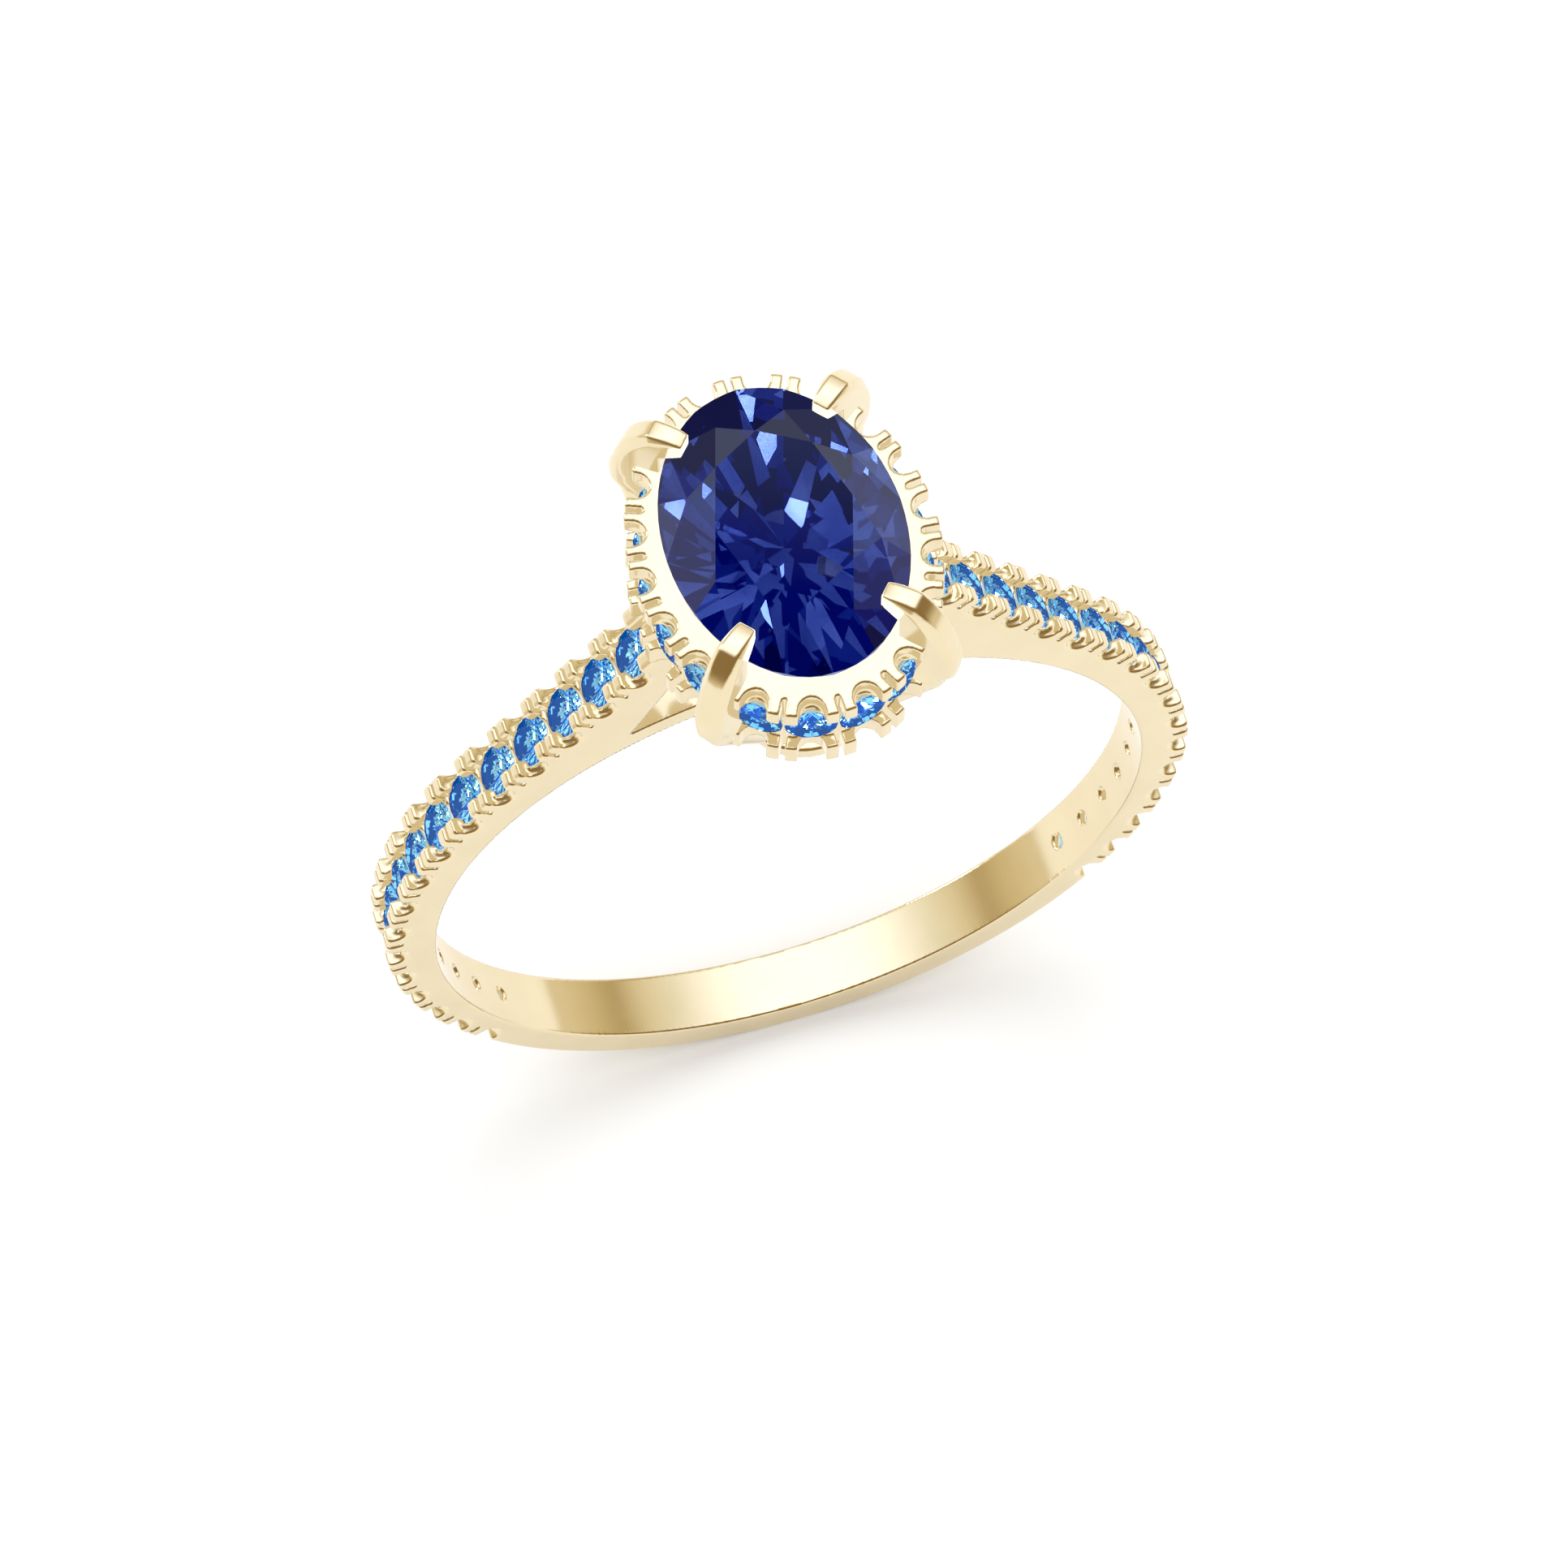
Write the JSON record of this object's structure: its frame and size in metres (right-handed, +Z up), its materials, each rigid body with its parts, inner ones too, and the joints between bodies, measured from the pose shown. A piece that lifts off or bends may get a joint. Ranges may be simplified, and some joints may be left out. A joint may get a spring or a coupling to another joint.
{
  "type": "halo engagement ring",
  "caption": "Finger ring with a large oval stone held by claw prongs in a raised halo of small round stones, on a slim cathedral band with more stones set along both shoulders.",
  "frame": {"origin": "centre of the finger hole, midway between the band's two side faces", "axes": "+Y along the finger, +Z up through the middle of the head and the centre stone, +X to the right across the finger"},
  "size_m": [0.0188, 0.0082, 0.0235],
  "materials": {
    "yellow_gold": "polished pale yellow gold",
    "deep_blue_stone": "polished, faceted oval, deep blue",
    "bright_blue_stone": "polished, faceted round, bright blue"
  },
  "bodies": {
    "root": {"shank": "yellow_gold", "halo_frame": "yellow_gold", "gallery_ring": "yellow_gold", "claw_prong_1": "yellow_gold", "claw_prong_2": "yellow_gold", "claw_prong_3": "yellow_gold", "claw_prong_4": "yellow_gold", "centre_stone": "deep_blue_stone", "halo_stone_1": "bright_blue_stone", "halo_stone_2": "bright_blue_stone", "halo_stone_3": "bright_blue_stone", "halo_stone_4": "bright_blue_stone", "halo_stone_5": "bright_blue_stone", "halo_stone_6": "bright_blue_stone", "halo_stone_7": "bright_blue_stone", "halo_stone_8": "bright_blue_stone", "halo_stone_9": "bright_blue_stone", "halo_stone_10": "bright_blue_stone", "halo_stone_11": "bright_blue_stone", "halo_stone_12": "bright_blue_stone", "halo_stone_13": "bright_blue_stone", "halo_stone_14": "bright_blue_stone", "halo_stone_15": "bright_blue_stone", "halo_stone_16": "bright_blue_stone", "halo_stone_17": "bright_blue_stone", "halo_stone_18": "bright_blue_stone", "left_arm_stone_1": "bright_blue_stone", "left_arm_stone_2": "bright_blue_stone", "left_arm_stone_3": "bright_blue_stone", "left_arm_stone_4": "bright_blue_stone", "left_arm_stone_5": "bright_blue_stone", "left_arm_stone_6": "bright_blue_stone", "left_arm_stone_7": "bright_blue_stone", "left_arm_stone_8": "bright_blue_stone", "left_arm_stone_9": "bright_blue_stone", "left_arm_stone_10": "bright_blue_stone", "left_arm_stone_11": "bright_blue_stone", "left_arm_stone_12": "bright_blue_stone", "left_arm_stone_13": "bright_blue_stone", "left_arm_stone_14": "bright_blue_stone", "left_arm_stone_15": "bright_blue_stone", "left_arm_stone_16": "bright_blue_stone", "right_arm_stone_1": "bright_blue_stone", "right_arm_stone_2": "bright_blue_stone", "right_arm_stone_3": "bright_blue_stone", "right_arm_stone_4": "bright_blue_stone", "right_arm_stone_5": "bright_blue_stone", "right_arm_stone_6": "bright_blue_stone", "right_arm_stone_7": "bright_blue_stone", "right_arm_stone_8": "bright_blue_stone", "right_arm_stone_9": "bright_blue_stone", "right_arm_stone_10": "bright_blue_stone", "right_arm_stone_11": "bright_blue_stone", "right_arm_stone_12": "bright_blue_stone", "right_arm_stone_13": "bright_blue_stone", "right_arm_stone_14": "bright_blue_stone", "right_arm_stone_15": "bright_blue_stone", "right_arm_stone_16": "bright_blue_stone"}
  },
  "joints": []
}
